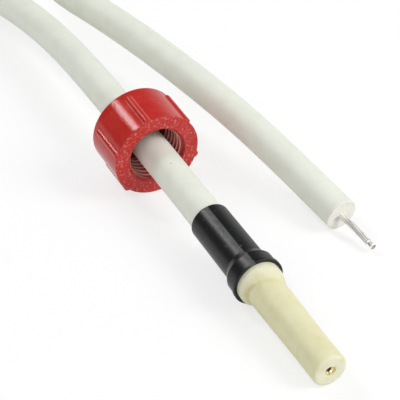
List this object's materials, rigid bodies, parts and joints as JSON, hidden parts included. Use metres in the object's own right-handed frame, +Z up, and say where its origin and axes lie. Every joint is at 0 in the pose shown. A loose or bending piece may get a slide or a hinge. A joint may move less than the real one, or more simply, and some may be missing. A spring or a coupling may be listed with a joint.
{
  "type": "flame sensor lead",
  "caption": "High-tension flame-sensing lead: thick silicone cable with a nosed socket connector, rubber seal boot and loose ribbed coupling nut on one end, bare stranded conductor on the other.",
  "frame": {"origin": "on the surface that the lead lies on, under the middle of the connector and nut", "axes": "+Z up, +X the way the connector's nose points, seen from above; the nose dips 5 degrees below it"},
  "size_m": [0.2663, 0.084, 0.0199],
  "materials": {
    "nut_red": "satin moulded",
    "washer_black": "matte",
    "boot_rubber": "satin moulded rubber",
    "insulator_cream": "satin",
    "contact_brass": "turned",
    "potting_silicone": "matte",
    "cable_silicone": "matte silicone",
    "tie_black": "matte",
    "conductor_tinned": "tinned"
  },
  "bodies": {
    "lead": {"seal_boot": "boot_rubber", "nose_insulator": "insulator_cream", "contact_socket": "contact_brass", "potting_fill": "potting_silicone", "lead_end_jacket": "cable_silicone", "lead_front_run": "cable_silicone", "lead_tail_run": "cable_silicone", "lead_coil": "cable_silicone", "coil_tie": "tie_black", "tail_tinned_tip": "conductor_tinned", "front_strand_1": "conductor_tinned", "front_strand_2": "conductor_tinned", "front_strand_3": "conductor_tinned", "front_strand_4": "conductor_tinned", "front_strand_5": "conductor_tinned", "front_strand_6": "conductor_tinned", "front_strand_7": "conductor_tinned", "tail_strand_1": "conductor_tinned", "tail_strand_2": "conductor_tinned", "tail_strand_3": "conductor_tinned", "tail_strand_4": "conductor_tinned", "tail_strand_5": "conductor_tinned", "tail_strand_6": "conductor_tinned", "tail_strand_7": "conductor_tinned"},
    "washer": {"slip_washer": "washer_black"},
    "nut": {"coupling_nut": "nut_red"}
  },
  "joints": [
    {"name": "nut_slide", "type": "slide", "parent": "lead", "child": "washer", "axis": [0.9961, 0, -0.0878], "range_m": [-0.006, 0.0456]},
    {"name": "nut_spin", "type": "hinge", "parent": "washer", "child": "nut", "pos_m": [-0.03435, 0, 0.01002], "axis": [0.9961, 0, -0.0878], "continuous": true}
  ]
}
